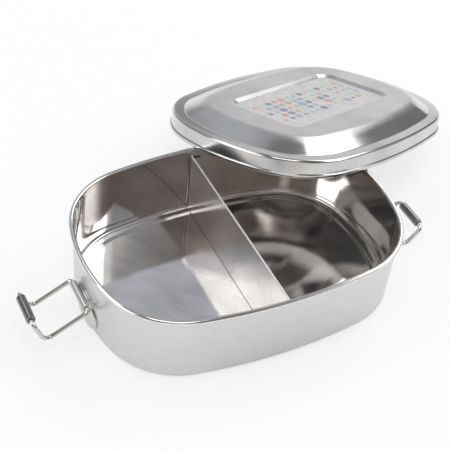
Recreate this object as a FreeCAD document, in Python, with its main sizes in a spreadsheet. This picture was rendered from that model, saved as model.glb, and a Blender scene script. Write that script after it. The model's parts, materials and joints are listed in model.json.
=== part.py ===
"""A steel lunch box with its lid off.

A deep-drawn tray has a welded divider. A pressed lid leans on the tray's rim with its far corner on
the table. A wire bail hangs in a rolled bracket at each end of the tray and carries a finger tube.
X runs along the tray, Y to its back and Z up. The origin is the middle of the tray's foot.
"""
import FreeCAD
import Part
import Sketcher
import math
import os
from FreeCAD import Placement, Rotation, Vector

# Driving sizes in millimetres and degrees: alias, value, what it measures
SIZES = (
    ("tray_length", 180, "rim, outer edge to outer edge, end to end"),
    ("tray_width", 130, "rim, outer edge to outer edge, front to back"),
    ("tray_height", 45, "foot to the top of the rim"),
    ("end_radius", 106, "bow of the ends, at the rim's outer edge"),
    ("side_radius", 300, "bow of the long sides, at the rim's outer edge"),
    ("corner_radius", 46, "corners, at the rim's outer edge"),
    ("sheet_steel", 0.6, "sheet of the tray and the lid"),
    ("rim_bead", 2.6, "rolled rim, across"),
    ("rim_neck", 1.5, "straight stretch of wall under the rolled rim"),
    ("rim_tuck", 0.15, "rolled rim's edge past its last bend"),
    ("wall_draft", 0.4, "how far the wall leans in from rim to foot"),
    ("foot_bend", 2.2, "bend between wall and floor, middle of the sheet"),
    ("floor_ring", 4.5, "flat ring between the wall and the step in the floor"),
    ("floor_step", 0.8, "how far the ring lies above the floor that stands on the table"),
    ("floor_run", 1.6, "width of the step in the floor"),
    ("press_bend", 1.0, "small bends pressed into floor and lid, middle of the sheet"),
    ("sheet_lap", 3.0, "flat margin carried past the last bend of a pressed ring"),
    ("lid_clearance", 0.2, "gap all round between the rim and the lid's skirt"),
    ("hem_width", 1.4, "rolled hem of the lid, across"),
    ("hem_height", 2.4, "rolled hem of the lid, bottom to top"),
    ("hem_lip", 0.35, "bend that tucks the hem's edge in, middle of the sheet"),
    ("hem_tuck", 0.06, "hem's edge past its last bend"),
    ("ledge_height", 10.6, "hem's bottom to the top of the lid's ledge"),
    ("ledge_bend", 1.3, "bend between skirt and ledge, middle of the sheet"),
    ("ledge_width", 6.5, "rim's outer edge to the foot of the lid's slope"),
    ("slope_width", 13.2, "foot of the slope to the edge of the plateau"),
    ("slope_foot_bend", 3.0, "hollow bend at the slope's foot"),
    ("slope_top_bend", 5.0, "round bend at the plateau's edge"),
    ("lid_height", 17.0, "hem's bottom to the top of the plateau"),
    ("panel_length", 104.0, "sunk print panel, at its upper edge"),
    ("panel_width", 55.0, "sunk print panel, at its upper edge"),
    ("panel_corner", 10.0, "corner of the sunk panel, at its upper edge"),
    ("panel_depth", 1.6, "plateau to the sunk panel's floor"),
    ("panel_run", 3.0, "width of the slope round the sunk panel's floor"),
    ("panel_edge", 0.9, "rounding of the sunk panel's upper edge"),
    ("lid_heading", 22.3, "degrees from the tray's length to the lid's, seen from above"),
    ("lid_right", 90.0, "middle of the lid, right of the tray's middle"),
    ("lid_back", 81.3, "middle of the lid, behind the tray's middle"),
    ("lean_gap", 0.3, "air left where the hem lies on the rim"),
    ("table_gap", 0.15, "air left over the table"),
    ("divider_sheet", 1.0, "sheet of the divider"),
    ("divider_height", 41.3, "table to the divider's top edge"),
    ("divider_foot", 1.7, "table to the divider's lower edge, just over the floor's ring"),
    ("flange_seat", 0.1, "divider's flange to the wall at the divider's own middle line"),
    ("flange_width", 6.5, "divider's end flange, outside the bend"),
    ("flange_bend", 1.5, "bend between divider and flange, middle of the sheet"),
    ("flange_drop", 2.5, "how much lower the flange ends than the divider"),
    ("foot_relief", 1.6, "lower corners cut off the divider, clear of the tray's foot bend"),
    ("clip_height", 18.8, "table to the clip's hinge line"),
    ("bracket_sheet", 0.8, "sheet of the clip's bracket"),
    ("bracket_seat", 0.05, "bracket's oval plate to the wall that it is welded to"),
    ("bracket_width", 31.0, "bracket's oval plate, front to back"),
    ("bracket_height", 20.0, "bracket's oval plate, lower edge to upper edge"),
    ("bracket_foot", 0.6, "table to the oval plate's lower edge"),
    ("barrel_length", 19.6, "rolled barrel, front to back"),
    ("barrel_standoff", 1.9, "oval plate's outer face to the hinge line"),
    ("barrel_root", 1.6, "straight stretch of the barrel's sheet, down along the oval plate"),
    ("barrel_tuck", 0.2, "barrel's edge past the hinge line, towards the wall"),
    ("wire", 2.5, "clip wire, across"),
    ("wire_play", 0.05, "air all round the wire in its barrel and its finger tube"),
    ("bail_width", 25.2, "between the arms of the bail, middle to middle"),
    ("bail_arm", 26.5, "hinge line to the elbow"),
    ("bail_hook", 14.7, "elbow to the finger tube, square to the arms"),
    ("bail_return", 1.3, "how far the hook leans back over the arms"),
    ("barrel_bend", 2.2, "bend of the wire beside the barrel"),
    ("elbow_bend", 4.0, "bend of the wire at the elbow"),
    ("tube_bend", 3.0, "bend of the wire beside the finger tube"),
    ("tube_across", 5.1, "finger tube, across"),
    ("tube_length", 17.4, "finger tube, end to end"),
    ("tube_edge", 0.4, "rounding of the finger tube's ends"),
    ("wire_end_gap", 0.6, "between the wire's two ends inside the finger tube"),
    ("left_droop", 27.6, "degrees that the left bail's arms hang below level"),
)

doc = FreeCAD.newDocument("lunch_box")
sheet = doc.addObject("Spreadsheet::Sheet", "Sizes")
for row, (alias, value, meaning) in enumerate(SIZES, start=1):
    sheet.set(f"A{row}", meaning)
    sheet.set(f"B{row}", str(value))
    sheet.setAlias(f"B{row}", alias)
doc.recompute()

UP = Vector(0, 0, 1)
BACK = Vector(0, 1, 0)
START, END, CENTRE = 1, 2, 3
ORIGIN, X_AXIS, Y_AXIS = (-1, 1), -1, -2
SHORTEST_LINE = 1e-6
STEPS_PER_ARC = 80
SETTLE_ROUNDS = 30


def size(alias):
    """A driving size from the sheet."""
    return float(sheet.get(alias))


def total(terms):
    """The sum of some sizes. A name with a minus sign is taken away."""
    return sum(-size(term[1:]) if term.startswith("-") else size(term) for term in terms)


def formula(terms):
    """The same sum as an expression on the sheet."""
    return " + ".join(f"-Sizes.{term[1:]}" if term.startswith("-") else f"Sizes.{term}" for term in terms)


# The outline that the tray and the lid share


class Outline:
    """Bowed ends, bowed sides and tangent corners, at a distance inside the rim's outer edge."""

    def __init__(self, inset=0.0):
        half_length = size("tray_length") / 2
        half_width = size("tray_width") / 2
        ends, sides, corners = size("end_radius"), size("side_radius"), size("corner_radius")
        self.end_centre = Vector(half_length - ends, 0)
        self.side_centre = Vector(0, half_width - sides)
        across = self.side_centre - self.end_centre
        along = ((ends - corners) ** 2 - (sides - corners) ** 2 + across.Length ** 2) / (2 * across.Length)
        square = math.sqrt((ends - corners) ** 2 - along ** 2)
        across.normalize()
        self.corner_centre = self.end_centre + across * along + Vector(-across.y, across.x) * square
        from_end = self.corner_centre - self.end_centre
        from_side = self.corner_centre - self.side_centre
        self.end_turn = math.atan2(from_end.y, from_end.x)
        self.side_turn = math.atan2(from_side.y, from_side.x)
        self.ends, self.sides, self.corners = ends - inset, sides - inset, corners - inset

    def arcs(self):
        """Centre, radius, first and last angle, counter-clockwise from the right end's middle."""
        end, side = self.end_turn, self.side_turn
        corner = self.corner_centre
        flip = Vector(-corner.x, corner.y)
        half, full = math.pi, 2 * math.pi
        return [
            (self.end_centre, self.ends, 0, end),
            (corner, self.corners, end, side),
            (self.side_centre, self.sides, side, half - side),
            (flip, self.corners, half - side, half - end),
            (-self.end_centre, self.ends, half - end, half + end),
            (-corner, self.corners, half + end, half + side),
            (-self.side_centre, self.sides, half + side, full - side),
            (-flip, self.corners, full - side, full - end),
            (self.end_centre, self.ends, full - end, full),
        ]

    def points(self):
        """Evenly spaced points, with the direction of travel at each."""
        for centre, radius, first, last in self.arcs():
            for step in range(STEPS_PER_ARC):
                angle = first + (last - first) * step / STEPS_PER_ARC
                out = Vector(math.cos(angle), math.sin(angle))
                yield centre + out * radius, Vector(-out.y, out.x)

    def depth(self, point):
        """How far a point lies inside the outline, or outside it where negative."""
        near = Vector(abs(point.x), abs(point.y))
        from_corner = near - self.corner_centre
        turn = math.atan2(from_corner.y, from_corner.x)
        if turn < self.end_turn:
            return self.ends - (near - self.end_centre).Length
        if turn > self.side_turn:
            return self.sides - (near - self.side_centre).Length
        return self.corners - from_corner.Length


# Sketches


def new_body(label):
    body = doc.addObject("PartDesign::Body", label)
    body.Label = label
    return body


def sketch_on(body, name, role):
    """An empty sketch on one of a body's own origin planes."""
    sketch = body.newObject("Sketcher::SketchObject", name)
    plane = next(feature for feature in body.Origin.OriginFeatures if feature.Role == role)
    sketch.AttachmentSupport = [(plane, "")]
    sketch.MapMode = "FlatFace"
    return sketch


def driven(sketch, name, text, *constraint):
    """Add a dimension and bind it to the sheet."""
    index = sketch.addConstraint(Sketcher.Constraint(*constraint))
    sketch.renameConstraint(index, name)
    sketch.setExpression(f"Constraints.{name}", text)


def outline_sketch(body, name, inset, level=()):
    """The shared outline at a distance inside the rim's outer edge, both given as sums of sizes."""
    sketch = sketch_on(body, name, "XY_Plane")
    arcs = Outline(total(inset)).arcs()
    for centre, radius, first, last in arcs:
        sketch.addGeometry(Part.ArcOfCircle(Part.Circle(centre, UP, radius), first, last), False)
    right, back, left, front, last = 0, 2, 4, 6, len(arcs) - 1
    corner, *other_corners = (1, 3, 5, 7)
    for number in range(last):
        sketch.addConstraint(Sketcher.Constraint("Tangent", number, END, number + 1, START))
    sketch.addConstraint(Sketcher.Constraint("Coincident", last, END, right, START))
    sketch.addConstraint(Sketcher.Constraint("Coincident", last, CENTRE, right, CENTRE))
    sketch.addConstraint(Sketcher.Constraint("PointOnObject", right, CENTRE, X_AXIS))
    sketch.addConstraint(Sketcher.Constraint("PointOnObject", right, START, X_AXIS))
    sketch.addConstraint(Sketcher.Constraint("PointOnObject", back, CENTRE, Y_AXIS))
    sketch.addConstraint(Sketcher.Constraint("Symmetric", right, CENTRE, left, CENTRE, *ORIGIN))
    sketch.addConstraint(Sketcher.Constraint("Symmetric", back, CENTRE, front, CENTRE, *ORIGIN))
    sketch.addConstraint(Sketcher.Constraint("Equal", right, left))
    sketch.addConstraint(Sketcher.Constraint("Equal", back, front))
    for other in other_corners:
        sketch.addConstraint(Sketcher.Constraint("Equal", corner, other))
    away = f" - ({formula(inset)})" if inset else ""
    radii = ((right, "end_radius"), (back, "side_radius"), (corner, "corner_radius"))
    for number, alias in radii:
        driven(sketch, alias, f"Sizes.{alias}{away}", "Radius", number, arcs[number][1])
    half_length = size("tray_length") / 2 - total(inset)
    text = f"Sizes.tray_length / 2{away}"
    driven(sketch, "half_length", text, "DistanceX", *ORIGIN, right, START, half_length)
    sunk = size("side_radius") - size("tray_width") / 2
    text = "Sizes.side_radius - Sizes.tray_width / 2"
    driven(sketch, "side_centre", text, "DistanceY", back, CENTRE, *ORIGIN, sunk)
    if level:
        sketch.setExpression("AttachmentOffset.Base.z", formula(level))
    return sketch


def rectangle_sketch(body, name, margin, level):
    """The sunk panel's rounded rectangle, larger by a margin all round."""
    sketch = sketch_on(body, name, "XY_Plane")
    grow = total(margin)
    x = size("panel_length") / 2 + grow
    y = size("panel_width") / 2 + grow
    r = size("panel_corner") + grow
    corners = ((x - r, y - r), (r - x, y - r), (r - x, r - y), (x - r, r - y))
    for number, centre in enumerate(corners):
        first = number * math.pi / 2
        circle = Part.Circle(Vector(*centre), UP, r)
        sketch.addGeometry(Part.ArcOfCircle(circle, first, first + math.pi / 2), False)
    for number in range(4):
        begin = sketch.Geometry[number].EndPoint
        finish = sketch.Geometry[(number + 1) % 4].StartPoint
        sketch.addGeometry(Part.LineSegment(begin, finish), False)
    for number in range(4):
        sketch.addConstraint(Sketcher.Constraint("Tangent", number, END, number + 4, START))
        sketch.addConstraint(Sketcher.Constraint("Tangent", number + 4, END, (number + 1) % 4, START))
    for number in (1, 2, 3):
        sketch.addConstraint(Sketcher.Constraint("Equal", 0, number))
    top, left, bottom, right = 4, 5, 6, 7
    sketch.addConstraint(Sketcher.Constraint("Horizontal", top))
    sketch.addConstraint(Sketcher.Constraint("Vertical", left))
    wider = f" + {formula(margin)}" if margin else ""
    driven(sketch, "corner", f"Sizes.panel_corner{wider}", "Radius", 0, r)
    half_length, half_width = f"Sizes.panel_length / 2{wider}", f"Sizes.panel_width / 2{wider}"
    driven(sketch, "right", half_length, "DistanceX", *ORIGIN, right, START, x)
    driven(sketch, "left", half_length, "DistanceX", left, START, *ORIGIN, x)
    driven(sketch, "top", half_width, "DistanceY", *ORIGIN, top, START, y)
    driven(sketch, "bottom", half_width, "DistanceY", bottom, START, *ORIGIN, y)
    sketch.setExpression("AttachmentOffset.Base.z", formula(level))
    return sketch


def add_polygon(sketch, corners):
    """Draw straight lines round some corners."""
    points = [Vector(*corner) for corner in corners]
    for begin, finish in zip(points, points[1:] + points[:1]):
        sketch.addGeometry(Part.LineSegment(begin, finish), False)


def left_of(direction):
    return Vector(-direction.y, direction.x)


def add_sheet_section(sketch, path, thickness):
    """Draw a bent sheet's section. The path is the middle of the sheet: x, y and bend radius."""
    points = [Vector(x, y) for x, y, bend in path]
    runs = [(after - before).normalize() for before, after in zip(points, points[1:])]
    sides = {}
    for side in (1, -1):
        shift = side * thickness / 2
        at = points[0] + left_of(runs[0]) * shift
        edges = []
        for point, bend, before, after in zip(points[1:], [p[2] for p in path[1:]], runs, runs[1:]):
            turn = math.atan2(before.x * after.y - before.y * after.x, before.dot(after))
            cut = bend * math.tan(abs(turn) / 2)
            first = point - before * cut + left_of(before) * shift
            last = point + after * cut + left_of(after) * shift
            middle = point - before * cut + left_of(before) * math.copysign(bend, turn)
            outward = (point - middle).normalize()
            if (first - at).Length > SHORTEST_LINE:
                edges.append(Part.LineSegment(at, first))
            radius = bend - math.copysign(shift, turn * side)
            edges.append(Part.Arc(first, middle + outward * radius, last))
            at = last
        tip = points[-1] + left_of(runs[-1]) * shift
        if (tip - at).Length > SHORTEST_LINE:
            edges.append(Part.LineSegment(at, tip))
        sides[side] = (edges, points[0] + left_of(runs[0]) * shift, tip)
    for edges, begin, tip in sides.values():
        sketch.addGeometry(edges, False)
    sketch.addGeometry(Part.LineSegment(sides[1][1], sides[-1][1]), False)
    sketch.addGeometry(Part.LineSegment(sides[1][2], sides[-1][2]), False)


# Features


def sweep(body, name, section, path):
    pipe = body.newObject("PartDesign::AdditivePipe", name)
    pipe.Profile = section
    pipe.Spine = path
    return pipe


def pad(body, name, sketch, length, both_ways=False):
    feature = body.newObject("PartDesign::Pad", name)
    feature.Profile = sketch
    if both_ways:
        feature.SideType = "Symmetric"
    feature.setExpression("Length", length)
    return feature


def pocket(body, name, sketch, length, both_ways=False):
    """Cut from a sketch by a bound depth, and make sure that something went."""
    doc.recompute()
    before = body.Shape.Volume
    feature = body.newObject("PartDesign::Pocket", name)
    feature.Profile = sketch
    if both_ways:
        feature.SideType = "Symmetric"
    feature.setExpression("Length", length)
    doc.recompute()
    if body.Shape.Volume > before - SHORTEST_LINE:
        raise RuntimeError(f"{name} cuts nothing")
    return feature


def fillet(body, name, base, chosen, radius):
    """Round the edges of a feature that a test picks."""
    doc.recompute()
    names = [f"Edge{number}" for number, edge in enumerate(base.Shape.Edges, start=1) if chosen(edge)]
    if not names:
        raise RuntimeError(f"{name} finds no edge")
    feature = body.newObject("PartDesign::Fillet", name)
    feature.Base = (base, names)
    feature.setExpression("Radius", radius)
    return feature


# Tray


def wall_inset(height):
    """Rim's outer edge to the wall's inner face, at a height."""
    straight = size("tray_height") - size("rim_bead") - size("rim_neck")
    return size("rim_bead") + size("wall_draft") * max(0.0, 1 - height / straight)


def make_tray():
    """One drawn sheet: standing floor, stepped ring, leaning wall and rolled rim."""
    body = new_body("tray")
    steel, bead, bend = size("sheet_steel"), size("rim_bead"), size("press_bend")
    curl = (bead - steel) / 2
    foot = bead + size("wall_draft")
    ring = foot + size("floor_ring")
    step = ring + size("floor_run")
    raised = size("floor_step") + steel / 2
    wall = bead - steel / 2
    top = size("tray_height") - steel / 2
    section = sketch_on(body, "tray_section", "XZ_Plane")
    section.setExpression("AttachmentOffset.Base.x", "Sizes.tray_length / 2")
    add_sheet_section(section, [
        (-step - size("sheet_lap"), steel / 2, 0),
        (-step, steel / 2, bend),
        (-ring, raised, bend),
        (steel / 2 - foot, raised, size("foot_bend")),
        (-wall, size("tray_height") - bead - size("rim_neck"), bead),
        (-wall, top, curl),
        (-steel / 2, top, curl),
        (-steel / 2, top - 2 * curl, curl),
        (-steel / 2 - curl - size("rim_tuck"), top - 2 * curl, 0),
    ], steel)
    sweep(body, "tray_wall", section, outline_sketch(body, "tray_rim_line", ()))
    inset = ("rim_bead", "wall_draft", "floor_ring", "floor_run", "sheet_lap")
    pad(body, "tray_floor", outline_sketch(body, "tray_floor_line", inset), "Sizes.sheet_steel")
    return body


# Lid


def dish(body, kind, name, offset):
    """The sunk panel's form, from the plateau down to its smaller floor."""
    feature = body.newObject(kind, name)
    feature.Profile = rectangle_sketch(body, f"{name}_line", (), ("lid_height",) + offset)
    floor_level = ("lid_height", "-panel_depth") + offset
    feature.Sections = [rectangle_sketch(body, f"{name}_floor_line", ("-panel_run",), floor_level)]
    feature.Ruled = True
    return feature


def make_lid():
    """One pressed sheet: hem, skirt, ledge, slope and plateau with a sunk panel."""
    body = new_body("lid")
    steel = size("sheet_steel")
    skirt = size("lid_clearance") + steel / 2
    hem = size("lid_clearance") + size("hem_width") - steel / 2
    curl = (hem - skirt) / 2
    tuck = size("hem_height") - steel / 2
    ledge = size("ledge_height") - steel / 2
    top = size("lid_height") - steel / 2
    slope_foot = -size("ledge_width")
    slope_top = slope_foot - size("slope_width")
    section = sketch_on(body, "lid_section", "XZ_Plane")
    section.setExpression("AttachmentOffset.Base.x", "Sizes.tray_length / 2")
    add_sheet_section(section, [
        (slope_top - size("sheet_lap"), top, 0),
        (slope_top, top, size("slope_top_bend")),
        (slope_foot, ledge, size("slope_foot_bend")),
        (skirt, ledge, size("ledge_bend")),
        (skirt, steel / 2, curl),
        (hem, steel / 2, curl),
        (hem, tuck, size("hem_lip")),
        (hem - size("hem_lip") - size("hem_tuck"), tuck, 0),
    ], steel)
    sweep(body, "lid_edge", section, outline_sketch(body, "lid_rim_line", ()))
    inset = ("ledge_width", "slope_width", "sheet_lap")
    level = ("lid_height", "-sheet_steel")
    pad(body, "lid_plateau", outline_sketch(body, "lid_plateau_line", inset, level), "Sizes.sheet_steel")
    dish(body, "PartDesign::AdditiveLoft", "lid_pan", ("-sheet_steel",))
    sunk = dish(body, "PartDesign::SubtractiveLoft", "lid_panel", ())
    limit = size("panel_length") / 2 + SHORTEST_LINE

    def upper_edge(edge):
        box = edge.BoundBox
        flat = abs(box.ZMin - size("lid_height")) + abs(box.ZMax - size("lid_height")) < SHORTEST_LINE
        return flat and max(abs(box.XMin), abs(box.XMax)) < limit

    fillet(body, "lid_panel_edge", sunk, upper_edge, "Sizes.panel_edge")
    return body


def lean_of_lid():
    """The lid's place: its hem lies on the rim at two points and on the table at its far corner."""
    hem_radius = size("hem_width") / 2
    rim_radius = size("rim_bead") / 2
    apart = hem_radius + rim_radius + size("lean_gap")
    rim = Outline(rim_radius)
    hem = list(Outline(-size("lid_clearance") - hem_radius).points())
    heading = math.radians(size("lid_heading"))
    middle = Vector(size("lid_right"), size("lid_back"))
    slope = Vector(0, 0)
    for settle in range(SETTLE_ROUNDS):
        normal = Vector(-slope.x, -slope.y, 1).normalize()
        ahead = Vector(math.cos(heading), math.sin(heading), 0)
        ahead.z = slope.dot(ahead)
        ahead.normalize()
        turn = Rotation(ahead, normal.cross(ahead), normal, "ZXY")
        placed = [(middle + turn.multVec(point), turn.multVec(along)) for point, along in hem]
        depths = [rim.depth(point) for point, along in placed]
        supports = []
        for number, depth in enumerate(depths):
            if (depth > 0) == (depths[number - 1] > 0):
                continue
            share = depth / (depth - depths[number - 1])
            point = placed[number][0] + (placed[number - 1][0] - placed[number][0]) * share
            plan = Vector(point.x, point.y)
            closest, rim_along = min(rim.points(), key=lambda other: (other[0] - plan).Length)
            across = rim_along.cross(placed[number][1]).normalize()
            level = size("tray_height") - rim_radius + apart / abs(across.z)
            supports.append(Vector(point.x, point.y, level))
        downhill = -slope if slope.Length else middle
        far = max((point for point, along in placed), key=lambda point: downhill.dot(point))
        supports.append(Vector(far.x, far.y, hem_radius + size("table_gap")))
        first, second, third = supports
        plane = (second - first).cross(third - first)
        slope = Vector(-plane.x / plane.z, -plane.y / plane.z)
    height = first.z + slope.dot(middle - Vector(first.x, first.y))
    return Placement(Vector(middle.x, middle.y, height) - normal * hem_radius, turn)


# Divider


def make_divider():
    """A plate across the tray with a welded flange at each end that follows the wall's lean."""
    body = new_body("divider")
    thick, bend = size("divider_sheet"), size("flange_bend")
    tip = size("flange_width") - thick / 2
    sketches = []
    for level in ("divider_foot", "divider_height"):
        reach = size("tray_width") / 2 - wall_inset(size(level)) - size("flange_seat") - thick / 2
        sketch = sketch_on(body, f"{level}_line", "XY_Plane")
        corners = [(tip, -reach, 0), (0, -reach, bend), (0, reach, bend), (tip, reach, 0)]
        add_sheet_section(sketch, corners, thick)
        sketch.setExpression("AttachmentOffset.Base.z", f"Sizes.{level}")
        sketches.append(sketch)
    loft = body.newObject("PartDesign::AdditiveLoft", "divider_plate")
    loft.Profile = sketches[0]
    loft.Sections = sketches[1:]
    loft.Ruled = True
    half, thick_half = size("tray_width") / 2, thick / 2
    trim = sketch_on(body, "divider_flange_trim", "XY_Plane")
    add_polygon(trim, [(thick_half, -half), (half, -half), (half, half), (thick_half, half)])
    trim.setExpression("AttachmentOffset.Base.z", "Sizes.divider_height")
    pocket(body, "divider_flange_top", trim, "Sizes.flange_drop")
    relief = sketch_on(body, "divider_relief", "YZ_Plane")
    foot, cut = size("divider_foot"), size("foot_relief")
    corner = half - wall_inset(foot) - size("flange_seat")
    for side in (1, -1):
        corners = ((corner - cut, foot), (corner, foot + cut), (half, foot + cut), (half, foot))
        add_polygon(relief, [(side * along, level) for along, level in corners])
    pocket(body, "divider_foot_corners", relief, "Sizes.tray_width", both_ways=True)
    return body


# Clips


def hinge_out():
    """Middle of the tray to a clip's hinge line."""
    return hinge_face() + size("bracket_seat") + size("bracket_sheet") + size("barrel_standoff")


def hinge_face():
    """Middle of the tray to the wall's outer face, at the hinge line."""
    return size("tray_length") / 2 - wall_inset(size("clip_height")) + size("sheet_steel")


def make_bracket(label, turn):
    """An oval plate that follows the end wall, and a barrel rolled round the bail's wire."""
    body = new_body(label)
    thick, hinge, out = size("bracket_sheet"), size("clip_height"), hinge_out()
    ends = size("end_radius") + size("sheet_steel") + size("bracket_seat")
    top, far = 2 * size("bracket_height"), size("tray_length")
    strip = sketch_on(body, f"{label}_strip", "XZ_Plane")
    strip.setExpression("AttachmentOffset.Base.x", "Sizes.tray_length / 2 - Sizes.end_radius")
    foot_in, top_in = ends - wall_inset(0), ends - wall_inset(top)
    add_polygon(strip, [(foot_in, 0), (foot_in + thick, 0), (top_in + thick, top), (top_in, top)])
    band = body.newObject("PartDesign::Revolution", f"{label}_band")
    band.Profile = strip
    band.ReferenceAxis = (strip, ["V_Axis"])
    band.Midplane = True
    band.Angle = math.degrees(2 * size("bracket_width") / ends)
    around = sketch_on(body, f"{label}_around", "YZ_Plane")
    add_polygon(around, [(-far, -far), (far, -far), (far, far), (-far, far)])
    half_height = size("bracket_height") / 2
    middle = Vector(0, size("bracket_foot") + half_height)
    around.addGeometry(Part.Ellipse(middle, size("bracket_width") / 2, half_height), False)
    pocket(body, f"{label}_oval", around, "Sizes.tray_length * 2", both_ways=True)
    roll = size("wire") / 2 + size("wire_play") + thick / 2
    section = sketch_on(body, f"{label}_barrel_section", "XZ_Plane")
    add_sheet_section(section, [
        (out - roll, hinge - roll - size("barrel_root"), 0),
        (out - roll, hinge + roll, roll),
        (out + roll, hinge + roll, roll),
        (out + roll, hinge - roll, roll),
        (out - size("barrel_tuck"), hinge - roll, 0),
    ], thick)
    pad(body, f"{label}_barrel", section, "Sizes.barrel_length", both_ways=True)
    body.Placement = Placement(Vector(), Rotation(UP, turn))
    return body


def rounded_path(corners):
    """A wire through corners, each with its bend radius: straight runs joined by tangent arcs."""
    edges = []
    at = corners[0][0]
    for (before, skip), (corner, bend), (after, skip) in zip(corners, corners[1:], corners[2:]):
        back = (before - corner).normalize()
        on = (after - corner).normalize()
        half = back.getAngle(on) / 2
        first = corner + back * (bend / math.tan(half))
        last = corner + on * (bend / math.tan(half))
        middle = corner + (back + on).normalize() * (bend / math.sin(half) - bend)
        edges.append(Part.LineSegment(at, first).toShape())
        edges.append(Part.Arc(first, middle, last).toShape())
        at = last
    edges.append(Part.LineSegment(at, corners[-1][0]).toShape())
    return Part.Wire(edges)


def bail_corners():
    """The bail's corners from one wire end to the other, hinge line through the origin, arms along X."""
    half = size("bail_width") / 2
    arm = size("bail_arm")
    tube = Vector(arm - size("bail_return"), 0, size("bail_hook"))
    near = [
        (tube - BACK * (size("wire_end_gap") / 2), 0),
        (tube - BACK * half, size("tube_bend")),
        (Vector(arm, -half, 0), size("elbow_bend")),
        (Vector(0, -half, 0), size("barrel_bend")),
    ]
    far = [(Vector(point.x, -point.y, point.z), bend) for point, bend in reversed(near)]
    return near + far


def droop_on_table():
    """Degrees that a bail's arms hang below level when its elbow lies on the table."""
    bend = size("elbow_bend")
    hook_turn = math.pi / 2 + math.atan2(size("bail_return"), size("bail_hook"))
    along = size("bail_arm") - bend * math.tan(hook_turn / 2)
    drop = size("clip_height") - bend - size("wire") / 2 - size("table_gap")
    return math.degrees(math.atan2(bend, along) + math.asin(drop / math.hypot(along, bend)))


def clip_place(turn, droop):
    """From the bail's own frame to its end of the tray."""
    hinge = Vector(hinge_out(), 0, size("clip_height"))
    return Placement(Vector(), Rotation(UP, turn)) * Placement(hinge, Rotation(BACK, droop))


def make_bail(label, turn, droop):
    """One wire: through the barrel, along both arms, up at the elbows and into the finger tube."""
    path = doc.addObject("Part::Feature", f"{label}_path")
    path.Shape = rounded_path(bail_corners())
    ring = doc.addObject("Part::Circle", f"{label}_ring")
    ring.setExpression("Radius", "Sizes.wire / 2")
    ring.Placement = Placement(bail_corners()[0][0], Rotation(UP, BACK))
    wire = doc.addObject("Part::Sweep", label)
    wire.Label = label
    wire.Sections = [ring]
    wire.Spine = (path, [f"Edge{number}" for number in range(1, len(path.Shape.Edges) + 1)])
    wire.Solid = True
    wire.Placement = clip_place(turn, droop)
    return wire


def make_finger_tube(label, turn, droop):
    """A rolled tube that turns on the bail's wire, with rounded ends."""
    body = new_body(label)
    sketch = sketch_on(body, f"{label}_ring", "XZ_Plane")
    tube = Vector(size("bail_arm") - size("bail_return"), size("bail_hook"))
    radii = (("tube", "Sizes.tube_across / 2", size("tube_across") / 2),
             ("bore", "Sizes.wire / 2 + Sizes.wire_play", size("wire") / 2 + size("wire_play")))
    for number, (name, text, radius) in enumerate(radii):
        sketch.addGeometry(Part.Circle(tube, UP, radius), False)
        driven(sketch, name, text, "Radius", number, radius)
    sketch.addConstraint(Sketcher.Constraint("Coincident", 0, CENTRE, 1, CENTRE))
    driven(sketch, "along", "Sizes.bail_arm - Sizes.bail_return", "DistanceX", *ORIGIN, 0, CENTRE, tube.x)
    driven(sketch, "hook", "Sizes.bail_hook", "DistanceY", *ORIGIN, 0, CENTRE, tube.y)
    plain = pad(body, f"{label}_plain", sketch, "Sizes.tube_length", both_ways=True)

    smallest = size("tube_across") / 2 - size("tube_edge")

    def end_edge(edge):
        return edge.BoundBox.YLength < SHORTEST_LINE and edge.Curve.Radius > smallest

    fillet(body, f"{label}_ends", plain, end_edge, "Sizes.tube_edge")
    body.Placement = clip_place(turn, droop)
    return body


def write(parts):
    """Refuse a broken document, then write one file for each sub-part."""
    doc.recompute()
    for thing in doc.Objects:
        if "Invalid" in thing.State or "Error" in thing.State:
            raise RuntimeError(f"{thing.Label} failed: {thing.State}")
    for part in parts:
        if part.Shape.isNull() or not part.Shape.isValid() or not part.Shape.Solids:
            raise RuntimeError(f"{part.Label} is not a sound solid")
    os.makedirs("parts", exist_ok=True)
    for part in parts:
        part.Shape.exportStep(f"parts/{part.Label}.step")
        print(f"{part.Label}: {part.Shape.Volume / 1000:.2f} cm3, {len(part.Shape.Solids)} solid")


def main():
    lid = make_lid()
    lid.Placement = lean_of_lid()
    parts = [make_tray(), make_divider(), lid]
    ends = (("right", 0, droop_on_table()), ("left", 180, size("left_droop")))
    for side, turn, droop in ends:
        parts.append(make_bracket(f"{side}_clip_bracket", turn))
        parts.append(make_bail(f"{side}_wire_bail", turn, droop))
        parts.append(make_finger_tube(f"{side}_finger_tube", turn, droop))
    write(parts)


main()
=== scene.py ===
"""Dresses the packed lunch box: pressed and bent sheets with their real thickness, steel finishes, a
printed panel and a studio stage. Everything is in metres, in the packed model's own frame.
"""
import json
import math

import bmesh
import bpy
import numpy as np
from bpy.props import FloatProperty, FloatVectorProperty, IntProperty, PointerProperty
from bpy.types import Operator, Panel, PropertyGroup
from mathutils import Matrix, Vector


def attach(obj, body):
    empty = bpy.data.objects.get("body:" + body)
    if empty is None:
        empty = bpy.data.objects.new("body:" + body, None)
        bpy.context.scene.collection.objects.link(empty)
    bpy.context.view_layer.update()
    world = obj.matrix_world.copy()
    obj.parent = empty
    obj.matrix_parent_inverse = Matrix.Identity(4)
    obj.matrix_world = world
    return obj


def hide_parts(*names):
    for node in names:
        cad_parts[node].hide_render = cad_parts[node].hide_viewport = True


bl_info = {
    "name": "Lunch Box",
    "version": (1, 0, 0),
    "blender": (4, 5, 0),
    "location": "3D View > Sidebar > Lunch Box",
    "description": "Builds a divided steel lunch box with a leaning lid and two wire clips",
    "category": "Object",
}

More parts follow.
